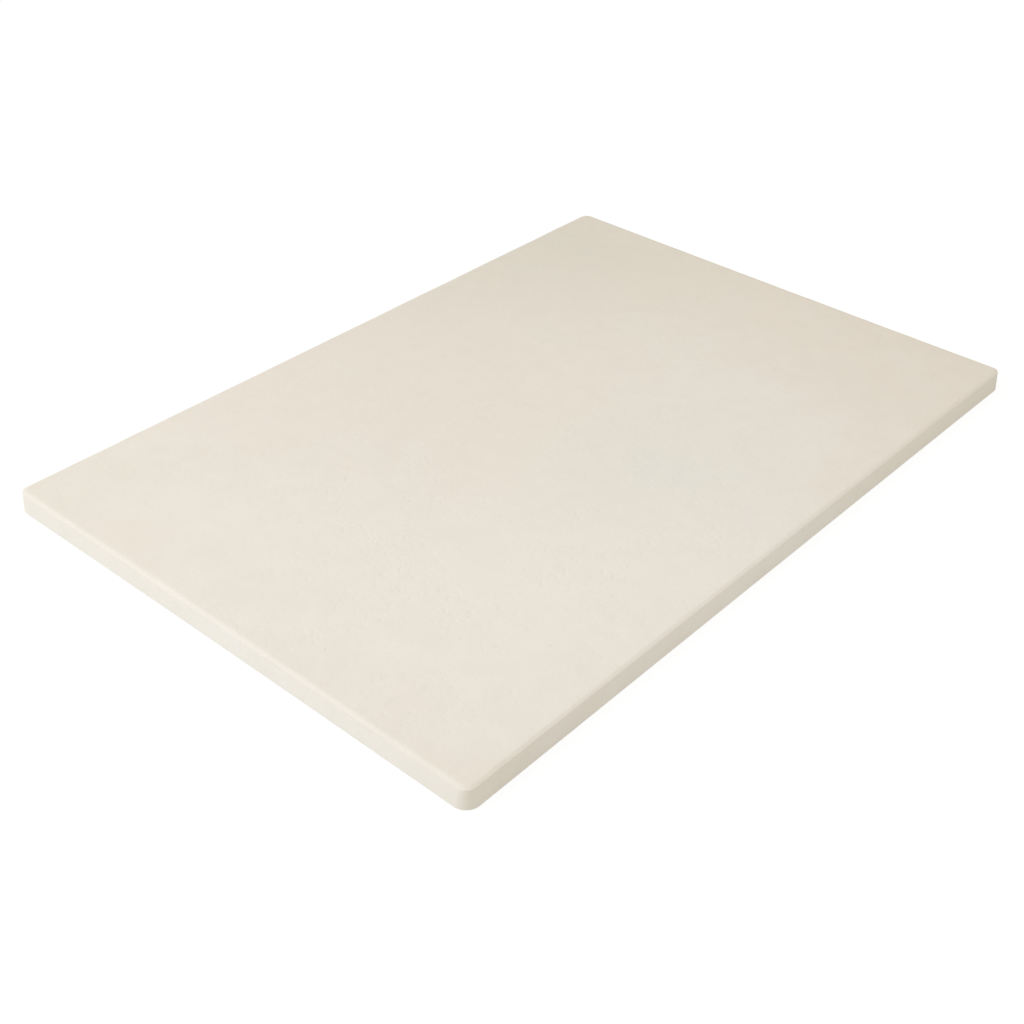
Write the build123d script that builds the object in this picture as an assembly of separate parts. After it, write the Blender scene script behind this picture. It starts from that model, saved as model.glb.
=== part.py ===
from build123d import *
from math import cos, radians, sin, tan
import os

# A rectangular baking stone: one slab of fired ceramic, pressed in a mould and fired whole.
# The origin is the centre of the flat underside. X runs along the length, Y across it, Z is up.
# Lengths are millimetres and angles are degrees.

# Overall size, measured across the foot of the sides, where the slab is widest
length = 508.0
width = 350.0
thickness = 13.4

# The four upright corners, which are tighter at the shoulder than at the foot
foot_corner_radius = 9.0
shoulder_corner_radius = 6.0

# The moulded edge
draft_angle = 6.5  # lean of the sides, which lets the pressed slab leave its mould
bevel_width = 2.0  # the bevel between shoulder and rim, measured in from the side
bevel_height = 1.0  # the same bevel, measured down from the baking face
shoulder_blend = 0.2  # rounding where the bevel leaves the side, nearly sharp
rim_blend = 3.0  # soft rounding where the bevel runs on to the baking face
foot_radius = 1.0  # rounding where the sides meet the underside


def foot_overhang():
    """How far the leaning sides, drawn on to the underside, would pass the rounded foot."""
    lean = radians(draft_angle)
    return foot_radius * ((1 + sin(lean)) / cos(lean) - 1)


def outline(height, inset, corner_radius):
    """The slab's outline at a height, drawn in evenly from its overall size."""
    return Pos(0, 0, height) * RectangleRounded(length - 2 * inset, width - 2 * inset, corner_radius)


def pressed_slab():
    """The slab with crisp arrises: leaning sides up to the shoulder, then the bevel up to the rim."""
    overhang = foot_overhang()
    shoulder_height = thickness - bevel_height
    shoulder_inset = shoulder_height * tan(radians(draft_angle)) - overhang
    foot = outline(0, -overhang, foot_corner_radius)
    shoulder = outline(shoulder_height, shoulder_inset, shoulder_corner_radius)
    rim = outline(thickness, shoulder_inset + bevel_width, shoulder_corner_radius - bevel_width)
    return loft([foot, shoulder, rim], ruled=True)


def with_blends(slab):
    """Round the shoulder, the foot and the rim, each all the way round."""
    shoulder = slab.edges().group_by(Axis.Z)[2]  # above the foot and the corner lines of the sides
    slab = fillet(shoulder, shoulder_blend)
    foot = slab.edges().group_by(Axis.Z)[0]
    slab = fillet(foot, foot_radius)
    rim = slab.edges().group_by(Axis.Z)[-1]
    return fillet(rim, rim_blend)


baking_stone = with_blends(pressed_slab())

os.makedirs("parts", exist_ok=True)
export_step(baking_stone, "parts/baking_stone.step")
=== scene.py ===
from cmath import exp, phase
from math import ceil, cos, pi, radians, sin, tan

import bpy
import numpy as np
from mathutils import Matrix, Vector


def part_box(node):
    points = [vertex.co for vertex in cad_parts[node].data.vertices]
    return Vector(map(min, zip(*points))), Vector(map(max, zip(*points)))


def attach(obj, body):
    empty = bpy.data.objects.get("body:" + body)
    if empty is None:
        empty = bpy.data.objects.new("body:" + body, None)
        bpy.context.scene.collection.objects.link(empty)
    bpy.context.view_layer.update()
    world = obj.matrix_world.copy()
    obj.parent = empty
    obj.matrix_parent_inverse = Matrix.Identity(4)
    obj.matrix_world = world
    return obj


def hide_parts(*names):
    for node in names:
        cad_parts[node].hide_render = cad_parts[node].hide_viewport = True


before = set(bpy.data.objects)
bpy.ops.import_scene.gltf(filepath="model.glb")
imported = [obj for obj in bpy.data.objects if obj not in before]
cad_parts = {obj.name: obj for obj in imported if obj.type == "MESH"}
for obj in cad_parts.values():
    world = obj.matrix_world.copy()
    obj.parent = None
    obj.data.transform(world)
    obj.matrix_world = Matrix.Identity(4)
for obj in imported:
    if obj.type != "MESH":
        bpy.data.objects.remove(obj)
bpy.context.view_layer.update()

# Lengths are metres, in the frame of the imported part: X along the stone, Z up, origin under its middle.
MM = 0.001

# The camera, as it stood for the photograph
CAMERA_PLACE = Vector((-0.59835, -0.50069, 0.50844))
CAMERA_TARGET = Vector((-0.06552, -0.03399, 0.0))
CAMERA_ROLL = radians(0.831)
CAMERA_LENS = 53.553
CAMERA_SENSOR = 36.0

# The stone's edge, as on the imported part
FOOT_CORNER_RADIUS = 9.0 * MM
SHOULDER_CORNER_RADIUS = 6.0 * MM
DRAFT = radians(6.5)
BEVEL_WIDTH = 2.0 * MM
BEVEL_HEIGHT = 1.0 * MM
SHOULDER_BLEND = 0.2 * MM
RIM_BLEND = 3.0 * MM
FOOT_RADIUS = 1.0 * MM

# How finely the stone is meshed
GRID_STEP = 2.4 * MM
RUN_STEP = 1.6 * MM
CORNER_STEPS = 14
BLEND_STEPS = 4

# Unevenness that pressing and firing leave, always inwards from the true form
END_BOW = 0.5 * MM
FRONT_BOW = 0.27 * MM
SWELL_DEPTH = 0.05 * MM
SWELL_WAVES = (28 * MM, 130 * MM)
RIPPLE_DEPTH = 0.014 * MM
RIPPLE_WAVES = (9 * MM, 22 * MM)
ARRIS_WEAR = 0.12 * MM
ARRIS_WAVES = (10 * MM, 70 * MM)
ARRIS_REACH = 0.9 * MM
WAVE_COUNT = 36
WAVE_SOFTNESS = 1.5
WEAR_SEED = 11
SWELL_SEED = 12
RIPPLE_SEED = 13

# The sky's strength, where 1 is white: as it lights the stone, then as the camera sees it
AMBIENT = 0.824
AMBIENT_COLOUR = (1.0, 0.967, 0.914, 1.0)
BACKGROUND = 1.0
WHITE = (1.0, 1.0, 1.0, 1.0)

# The floor's own glow, where 1 is white, and how pale its paper is: as it lights the stone, then as seen
FLOOR_GLOW = 0.37
FLOOR_GLOW_COLOUR = (0.9, 1.0, 0.98, 1.0)
FLOOR_PALENESS = 0.47
FLOOR_SEEN_GLOW = 0.88
FLOOR_SEEN_PALENESS = 0.15
FLOOR_SIZE = 40.0
FLOOR_HEIGHT = -0.05 * MM

# The lamp, with its power in watts
KEY_DISTANCE = 1.6
KEY_AZIMUTH = radians(155.6)
KEY_ELEVATION = radians(35.7)
KEY_SIZE = 0.8
KEY_POWER = 11.87
KEY_COLOUR = (0.712, 0.824, 1.0)

# Colours in the fired ceramic, linear
CREAM_WARM = (0.761, 0.691, 0.591, 1.0)
CREAM_COOL = (0.753, 0.69, 0.594, 1.0)
GROG_PALE = (0.88, 0.84, 0.77, 1.0)
GROG_DARK = (0.42, 0.36, 0.29, 1.0)
# Painted shade: the dark that is put into the pinholes in place of the shade inside them
PAINTED_PIT_SHADE = (0.30, 0.25, 0.20, 1.0)
WORN = (0.86, 0.81, 0.73, 1.0)

# Tones that the cream is multiplied by. The broad tones are painted light and shade, lightening and
# darkening broad parts of the stone in place of uneven lighting; a broad tone has a centre, a reach and a
# tone
UNTONED = (1.0, 1.0, 1.0, 1.0)
BLOTCH_TONES = ((0.988, 0.988, 0.988, 1.0), (1.008, 1.008, 1.008, 1.0))
GRAIN_TONES = ((0.988, 0.985, 0.981, 1.0), (1.009, 1.009, 1.009, 1.0))
FACE_HEIGHT = 13.4 * MM
PAINTED_LIGHT_AND_SHADE = (
    (Vector((0.23, 0.26, FACE_HEIGHT)), 0.35, (0.936, 0.957, 0.949, 1.0)),
    (Vector((-0.04, 0.01, FACE_HEIGHT)), 0.2, (0.969, 0.954, 0.929, 1.0)),
    (Vector((-0.04, -0.07, FACE_HEIGHT)), 0.35, (1.077, 1.105, 1.16, 1.0)),
    (Vector((0.01, -0.09, FACE_HEIGHT)), 0.13, (0.966, 0.99, 0.988, 1.0)),
)
RAGGEDNESS = 0.5

# Noise: the size of its features, detail and roughness, then the values where a pattern starts and ends
RAGGED = (30 * MM, 2.0, 0.5)
PATCHES = (90 * MM, 3.0, 0.5, 0.3, 0.7)
BLOTCHES = (9 * MM, 3.0, 0.5, 0.25, 0.75)
GRAIN = (1.1 * MM, 4.0, 0.65)
GRAIN_RANGE = (0.3, 0.7)
SAND = (0.42 * MM, 2.0, 0.6)
DENTS = (3.6 * MM, 1.0, 0.5, 0.52, 0.76)
DENTED = (40 * MM, 4.0, 0.6, 0.34, 0.58)

# Where most of the dents lie, and the share of their depth that others have
DENTED_CENTRE = Vector((-0.10, -0.08, FACE_HEIGHT))
DENTED_REACH = 0.28
DENTED_ELSEWHERE = 0.45

# Specks: spacing, largest radius, and the share of cells that hold one
DARK_GROG = (2.6 * MM, 0.45 * MM, 0.55)
PALE_GROG = (3.4 * MM, 1.1 * MM, 0.6)
PINHOLES = (9 * MM, 0.8 * MM, 0.6)
SPECK_CORE = 0.5

# How strongly each kind of mark shows in the colour
PALE_GROG_STRENGTH = 0.3
DARK_GROG_STRENGTH = 0.1
# The pinholes' darkening is painted shade in the pits
PIT_SHADE_STRENGTH = 0.08
WEAR_STRENGTH = 0.12

# The finest relief, as shares of one height
RELIEF_HEIGHT = 0.05 * MM
GRAIN_RELIEF = 0.35
SAND_RELIEF = 0.15
PINHOLE_RELIEF = -2.0
DENT_RELIEF = -3.2

# The matt finish, with its roughness for two values of the grain
ROUGHNESS = (0.82, 0.96)
ROUGHNESS_RANGE = (0.2, 0.8)
SPECULAR_LEVEL = 0.35

# The colour sockets of a Mix node, which share their names with others of its sockets
MIX_FACTOR = 0
MIX_FIRST = 6
MIX_SECOND = 7
MIX_RESULT = 2


def make_camera():
    """The camera that took the photograph."""
    data = bpy.data.cameras.new("camera")
    data.sensor_width = CAMERA_SENSOR
    data.lens = CAMERA_LENS
    camera = bpy.data.objects.new("camera", data)
    aim = (CAMERA_TARGET - CAMERA_PLACE).to_track_quat("-Z", "Y").to_matrix().to_4x4()
    camera.matrix_world = Matrix.Translation(CAMERA_PLACE) @ aim @ Matrix.Rotation(CAMERA_ROLL, 4, "Z")
    bpy.context.scene.collection.objects.link(camera)
    bpy.context.scene.camera = camera


def straight(start, stop):
    """Points at even steps between two others, without those two."""
    steps = ceil(abs(stop - start) / RUN_STEP)
    return [start + (stop - start) * step / steps for step in range(1, steps)]


def edge_profile(thickness):
    """The cut through the edge, from the underside out round the foot and up to the baking face.

    A point is a complex number: its real part is how far it stands out from the widest outline,
    its imaginary part is its height. Returns the points, the outward direction and the radius of
    the stone's corners at each, and the bevel's two arrises."""
    overhang = FOOT_RADIUS * ((1 + sin(DRAFT)) / cos(DRAFT) - 1)
    shoulder = complex(overhang - (thickness - BEVEL_HEIGHT) * tan(DRAFT), thickness - BEVEL_HEIGHT)
    rim = complex(shoulder.real - BEVEL_WIDTH, thickness)
    corners = ((complex(overhang, 0), FOOT_RADIUS), (shoulder, SHOULDER_BLEND), (rim, RIM_BLEND))
    first = complex(overhang - FOOT_CORNER_RADIUS, 0)
    last = complex(shoulder.real - SHOULDER_CORNER_RADIUS, thickness)
    places = [first, *(place for place, radius in corners), last]
    points, outwards = [], []
    start = first
    for index, (corner, radius) in enumerate(corners):
        run_in = corner - places[index]
        run_out = places[index + 2] - corner
        run_in, run_out = run_in / abs(run_in), run_out / abs(run_out)
        turn = phase(run_out / run_in)
        reach = radius * tan(turn / 2)
        stop = corner - run_in * reach
        centre = stop + 1j * run_in * radius
        run = straight(start, stop)
        points += run
        outwards += [-1j * run_in] * len(run)
        arc = [-1j * run_in * exp(1j * turn * step / BLEND_STEPS) for step in range(BLEND_STEPS + 1)]
        points += [centre + radius * outward for outward in arc]
        outwards += arc
        start = corner + run_out * reach
    run = straight(start, last)
    points, outwards = np.array(points + run), np.array(outwards + [1j] * len(run))
    heights = np.minimum(points.imag, shoulder.imag)
    radii = FOOT_CORNER_RADIUS + (SHOULDER_CORNER_RADIUS - FOOT_CORNER_RADIUS) * heights / shoulder.imag
    radii += points.real - overhang + heights * tan(DRAFT)
    return points, outwards, radii, (shoulder, rim)


def perimeter(steps_x, steps_y):
    """Once round the stone, anticlockwise: where a point's centre of turning lies on the inner
    rectangle, from -1 to 1 each way, its outward angle, and its column and row in the face's grid."""
    angles, cells = [], []
    corner_cells = ((steps_x, 0), (steps_x, steps_y), (0, steps_y), (0, 0))
    for side in range(4):
        start, stop = np.array(corner_cells[side]), np.array(corner_cells[(side + 1) % 4])
        steps = abs(stop - start).max()
        cells += [start + (stop - start) * step // steps for step in range(steps)]
        cells += [stop] * CORNER_STEPS
        angles += [side * pi / 2] * steps
        angles += [(side + step / CORNER_STEPS) * pi / 2 for step in range(CORNER_STEPS)]
    cells = np.array(cells)
    return cells / (steps_x, steps_y) * 2 - 1, np.array(angles), cells


def wave_field(places, depth, wavelengths, seed):
    """A smooth random height at each place, between 0 and depth."""
    random = np.random.default_rng(seed)
    directions = random.normal(size=(WAVE_COUNT, 3))
    directions /= np.linalg.norm(directions, axis=1)[:, None]
    lengths = random.uniform(*wavelengths, WAVE_COUNT)
    starts = random.uniform(0, 2 * pi, WAVE_COUNT)
    angles = places @ (directions * (2 * pi / lengths)[:, None]).T + starts
    spread = np.sqrt(WAVE_COUNT / 2)
    return depth * (1 + np.tanh(np.sin(angles).sum(1) / spread / WAVE_SOFTNESS)) / 2


def stone_surface(length, width, thickness):
    """The true form of the stone: its points, the outward direction at each, and the faces.

    The points come as the underside's grid, the baking face's grid, then the rings of the edge.
    Also returns how near each point lies to an arris of the bevel, from 0 to 1."""
    half_size = np.array((length, width)) / 2
    profile, outwards, radii, arrises = edge_profile(thickness)
    under_half = half_size + profile[0].real - radii[0]
    upper_half = half_size + profile[-1].real - radii[-1]
    steps_x, steps_y = (ceil(2 * half / GRID_STEP) for half in upper_half)
    shares, angles, cells = perimeter(steps_x, steps_y)
    headings = np.stack((np.cos(angles), np.sin(angles)), 1)
    cornering = np.abs(headings).sum(1) - 1
    shoulder = arrises[0].imag
    tightening = (FOOT_CORNER_RADIUS - SHOULDER_CORNER_RADIUS) / shoulder - tan(DRAFT)

    columns, rows = np.meshgrid(np.arange(steps_x + 1), np.arange(steps_y + 1), indexing="ij")
    grid = np.stack((columns / steps_x, rows / steps_y), 2).reshape(-1, 2) * 2 - 1
    grid_count = len(grid)
    ring_count = len(shares)

    def raised(flat, height):
        return np.column_stack((flat, np.full(len(flat), height)))

    places = [raised(grid * under_half, 0.0), raised(grid * upper_half, thickness)]
    normals = [np.tile((0.0, 0.0, -1.0), (grid_count, 1)), np.tile((0.0, 0.0, 1.0), (grid_count, 1))]
    nearness = [np.zeros(2 * grid_count)]
    for point, outward, radius in zip(profile, outwards, radii):
        centres = shares * (half_size + point.real - radius)
        places.append(raised(centres + headings * radius, point.imag))
        steeper = outward.real * tightening * cornering * (point.imag < shoulder)
        normals.append(np.column_stack((headings * outward.real, outward.imag - steeper)))
        gap = min(abs(point - arris) for arris in arrises)
        nearness.append(np.full(ring_count, np.exp(-((gap / ARRIS_REACH) ** 2))))
    normals = np.vstack(normals)
    normals /= np.linalg.norm(normals, axis=1)[:, None]

    cell = columns[:-1, :-1].ravel() * (steps_y + 1) + rows[:-1, :-1].ravel()
    square = np.stack((cell, cell + steps_y + 1, cell + steps_y + 2, cell + 1), 1)
    faces = square[:, ::-1].tolist() + (square + grid_count).tolist()
    rim_cells = cells[:, 0] * (steps_y + 1) + cells[:, 1]
    rings = np.arange(len(profile))[:, None] * ring_count + np.arange(ring_count) + 2 * grid_count
    bands = np.vstack((rim_cells, rings, rim_cells + grid_count))
    for lower, upper in zip(bands, bands[1:]):
        band = np.stack((lower, np.roll(lower, -1), np.roll(upper, -1), upper), 1)
        faces += [list(dict.fromkeys(face)) for face in band.tolist()]
    return np.vstack(places), normals, np.concatenate(nearness), faces


def drawn_in(places, length, width):
    """The places with both ends and the front side bowed a little inwards between the corners."""
    across = places[:, 0] * 2 / length
    along = places[:, 1] * 2 / width
    moved = places.copy()
    moved[:, 0] -= END_BOW * across * (1 - along**2)
    moved[:, 1] -= FRONT_BOW * np.minimum(along, 0.0) * (1 - across**2)
    return moved


def vertex_normals(mesh):
    """The normal at each of the mesh's points."""
    values = np.empty(len(mesh.vertices) * 3)
    mesh.vertex_normals.foreach_get("vector", values)
    return values.reshape(-1, 3)


def make_stone():
    """The slab with the slight unevenness that pressing and firing leave."""
    low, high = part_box("baking_stone")
    length, width, thickness = high - low
    places, normals, nearness, faces = stone_surface(length, width, thickness)
    mesh = bpy.data.meshes.new("stone_slab")
    mesh.from_pydata(places, [], faces)
    mesh.update()
    smooth_normals = vertex_normals(mesh)

    wear = nearness * wave_field(places * (1, 1, 0), 1.0, ARRIS_WAVES, WEAR_SEED)
    sunk = wave_field(places, SWELL_DEPTH, SWELL_WAVES, SWELL_SEED)
    sunk += wave_field(places, RIPPLE_DEPTH, RIPPLE_WAVES, RIPPLE_SEED)
    sunk += wear * ARRIS_WEAR
    fired = drawn_in(places, length, width) - normals * sunk[:, None]
    mesh.vertices.foreach_set("co", fired.ravel())
    mesh.update()
    shaded = normals + vertex_normals(mesh) - smooth_normals
    shaded /= np.linalg.norm(shaded, axis=1)[:, None]
    mesh.shade_smooth()
    mesh.normals_split_custom_set_from_vertices(shaded)
    mesh.attributes.new("wear", "FLOAT", "POINT").data.foreach_set("value", wear)

    stone = bpy.data.objects.new("stone_slab", mesh)
    bpy.context.scene.collection.objects.link(stone)
    mesh.materials.append(ceramic_material())
    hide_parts("baking_stone")
    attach(stone, "root")


def add_node(tree, kind, inputs=None, **settings):
    """A node with its settings made and its inputs set, or linked where the value is a socket."""
    node = tree.nodes.new(kind)
    for name, value in settings.items():
        setattr(node, name, value)
    for name, value in (inputs or {}).items():
        if isinstance(value, bpy.types.NodeSocket):
            tree.links.new(value, node.inputs[name])
        else:
            node.inputs[name].default_value = value
    return node


def graded(tree, value, low, high, start=0.0, end=1.0):
    """value eased from start to end as it goes from low to high."""
    inputs = {"Value": value, "From Min": low, "From Max": high, "To Min": start, "To Max": end}
    node = add_node(tree, "ShaderNodeMapRange", inputs, interpolation_type="SMOOTHSTEP")
    return node.outputs["Result"]


def calculated(tree, operation, first, second):
    """The result of a Math node."""
    return add_node(tree, "ShaderNodeMath", {0: first, 1: second}, operation=operation).outputs[0]


def mixed(tree, factor, first, second, blend="MIX"):
    """The first colour blended with the second, by the factor."""
    inputs = {MIX_FACTOR: factor, MIX_FIRST: first, MIX_SECOND: second}
    node = add_node(tree, "ShaderNodeMix", inputs, data_type="RGBA", blend_type=blend)
    return node.outputs[MIX_RESULT]


def toned(tree, colour, value, tones):
    """The colour multiplied by a tone between the two, as value goes from 0 to 1."""
    return mixed(tree, 1.0, colour, mixed(tree, value, *tones), "MULTIPLY")


def noise(tree, places, size, detail, roughness):
    """Soft noise with features of about the given size."""
    inputs = {"Vector": places, "Scale": 1 / size, "Detail": detail, "Roughness": roughness}
    return add_node(tree, "ShaderNodeTexNoise", inputs).outputs["Fac"]


def pattern(tree, places, size, detail, roughness, start, end):
    """Noise eased from 0 where it is at start to 1 where it is at end."""
    return graded(tree, noise(tree, places, size, detail, roughness), start, end)


def specks(tree, places, spacing, largest, share):
    """1 inside scattered specks, 0 elsewhere: one speck in that share of cells of the given spacing."""
    cells = add_node(tree, "ShaderNodeTexVoronoi", {"Vector": places, "Scale": 1 / spacing})
    pick = add_node(tree, "ShaderNodeSeparateColor", {"Color": cells.outputs["Color"]})
    chosen = calculated(tree, "LESS_THAN", pick.outputs["Red"], share)
    reach = calculated(tree, "MULTIPLY", pick.outputs["Green"], largest / spacing)
    core = calculated(tree, "MULTIPLY", reach, SPECK_CORE)
    inside = graded(tree, cells.outputs["Distance"], core, reach, 1.0, 0.0)
    return calculated(tree, "MULTIPLY", chosen, inside)


def around(tree, places, centre, reach):
    """1 at the centre, fading unevenly to 0 at about the given reach."""
    gap = add_node(tree, "ShaderNodeVectorMath", {0: places, 1: centre}, operation="DISTANCE")
    raggedness = calculated(tree, "MULTIPLY", noise(tree, places, *RAGGED), reach * RAGGEDNESS)
    ragged = calculated(tree, "ADD", gap.outputs["Value"], raggedness)
    average = reach * RAGGEDNESS / 2
    return graded(tree, ragged, average, average + reach, 1.0, 0.0)


def ceramic_material():
    """Unglazed fired ceramic: cream, matt, with a fine open grain, faint patches, shallow dents in
    clusters, and worn arrises. Broad painted light and shade lightens and darkens it, and painted shade
    darkens the pinholes."""
    material = bpy.data.materials.new("fired_ceramic")
    material.use_nodes = True
    tree = material.node_tree
    tree.nodes.clear()
    places = add_node(tree, "ShaderNodeTexCoord").outputs["Object"]

    grain = noise(tree, places, *GRAIN)
    sand = noise(tree, places, *SAND)
    most_dented = around(tree, places, DENTED_CENTRE, DENTED_REACH)
    dented = calculated(
        tree,
        "MULTIPLY",
        pattern(tree, places, *DENTED),
        graded(tree, most_dented, 0.0, 1.0, DENTED_ELSEWHERE, 1.0),
    )
    dents = calculated(tree, "MULTIPLY", pattern(tree, places, *DENTS), dented)
    dark_grog = specks(tree, places, *DARK_GROG)
    pale_grog = calculated(tree, "MULTIPLY", specks(tree, places, *PALE_GROG), dented)
    pinholes = specks(tree, places, *PINHOLES)
    wear = add_node(tree, "ShaderNodeAttribute", attribute_name="wear").outputs["Fac"]

    colour = mixed(tree, pattern(tree, places, *PATCHES), CREAM_WARM, CREAM_COOL)
    # Painted light and shade: broad tones that lighten and darken the stone as uneven lighting would
    for centre, reach, tone in PAINTED_LIGHT_AND_SHADE:
        colour = toned(tree, colour, around(tree, places, centre, reach), (UNTONED, tone))
    colour = toned(tree, colour, pattern(tree, places, *BLOTCHES), BLOTCH_TONES)
    colour = toned(tree, colour, graded(tree, grain, *GRAIN_RANGE), GRAIN_TONES)
    marks = (
        (pale_grog, PALE_GROG_STRENGTH, GROG_PALE),
        (dark_grog, DARK_GROG_STRENGTH, GROG_DARK),
        # The pinholes' darkening is painted shade
        (pinholes, PIT_SHADE_STRENGTH, PAINTED_PIT_SHADE),
        (wear, WEAR_STRENGTH, WORN),
    )
    for mark, strength, shade in marks:
        colour = mixed(tree, calculated(tree, "MULTIPLY", mark, strength), colour, shade)

    height = calculated(tree, "MULTIPLY", grain, GRAIN_RELIEF)
    for relief, share in ((sand, SAND_RELIEF), (pinholes, PINHOLE_RELIEF), (dents, DENT_RELIEF)):
        height = calculated(tree, "ADD", height, calculated(tree, "MULTIPLY", relief, share))
    bump = add_node(tree, "ShaderNodeBump", {"Strength": 1.0, "Distance": RELIEF_HEIGHT, "Height": height})
    shader = add_node(
        tree,
        "ShaderNodeBsdfPrincipled",
        {
            "Base Color": colour,
            "Roughness": graded(tree, grain, *ROUGHNESS_RANGE, *ROUGHNESS),
            "Specular IOR Level": SPECULAR_LEVEL,
            "Normal": bump.outputs["Normal"],
        },
    )
    add_node(tree, "ShaderNodeOutputMaterial", {"Surface": shader.outputs["BSDF"]})
    return material


def seen_directly(tree):
    """1 for what the camera sees straight, in a reflection or through glass, else 0."""
    path = add_node(tree, "ShaderNodeLightPath").outputs
    seen = calculated(tree, "MAXIMUM", path["Is Camera Ray"], path["Is Glossy Ray"])
    return calculated(tree, "MAXIMUM", seen, path["Is Transmission Ray"])


def make_floor():
    """A pale floor that keeps the stone's shadow, and is near white where the camera looks at it."""
    edge = FLOOR_SIZE / 2
    turns = ((-1, -1), (1, -1), (1, 1), (-1, 1))
    mesh = bpy.data.meshes.new("floor")
    mesh.from_pydata([(edge * x, edge * y, FLOOR_HEIGHT) for x, y in turns], [], [(0, 1, 2, 3)])
    floor = bpy.data.objects.new("floor", mesh)
    bpy.context.scene.collection.objects.link(floor)

    material = bpy.data.materials.new("floor")
    material.use_nodes = True
    tree = material.node_tree
    tree.nodes.clear()
    seen = seen_directly(tree)
    paleness = graded(tree, seen, 0.0, 1.0, FLOOR_PALENESS, FLOOR_SEEN_PALENESS)
    paper = add_node(tree, "ShaderNodeBsdfDiffuse", {"Color": paleness})
    glow = add_node(
        tree,
        "ShaderNodeEmission",
        {
            "Color": mixed(tree, seen, FLOOR_GLOW_COLOUR, WHITE),
            "Strength": graded(tree, seen, 0.0, 1.0, FLOOR_GLOW, FLOOR_SEEN_GLOW),
        },
    )
    both = add_node(tree, "ShaderNodeAddShader", {0: paper.outputs[0], 1: glow.outputs[0]})
    add_node(tree, "ShaderNodeOutputMaterial", {"Surface": both.outputs[0]})
    mesh.materials.append(material)


def make_light():
    """An even sky, white where it is seen, and one large soft lamp from the left of the picture."""
    world = bpy.data.worlds.new("studio")
    bpy.context.scene.world = world
    world.use_nodes = True
    tree = world.node_tree
    tree.nodes.clear()
    sky = add_node(tree, "ShaderNodeBackground", {"Strength": AMBIENT, "Color": AMBIENT_COLOUR})
    backdrop = add_node(tree, "ShaderNodeBackground", {"Strength": BACKGROUND, "Color": WHITE})
    shades = {0: seen_directly(tree), 1: sky.outputs[0], 2: backdrop.outputs[0]}
    shown = add_node(tree, "ShaderNodeMixShader", shades)
    add_node(tree, "ShaderNodeOutputWorld", {"Surface": shown.outputs[0]})

    data = bpy.data.lights.new("key", "AREA")
    data.shape = "SQUARE"
    data.size = KEY_SIZE
    data.energy = KEY_POWER
    data.color = KEY_COLOUR
    lamp = bpy.data.objects.new("key", data)
    ground = Vector((cos(KEY_AZIMUTH), sin(KEY_AZIMUTH), 0.0))
    lamp.location = KEY_DISTANCE * (cos(KEY_ELEVATION) * ground + Vector((0.0, 0.0, sin(KEY_ELEVATION))))
    lamp.rotation_mode = "QUATERNION"
    lamp.rotation_quaternion = (-lamp.location).to_track_quat("-Z", "Y")
    bpy.context.scene.collection.objects.link(lamp)


bpy.context.scene.view_settings.view_transform = "Standard"
make_camera()
make_stone()
make_floor()
make_light()
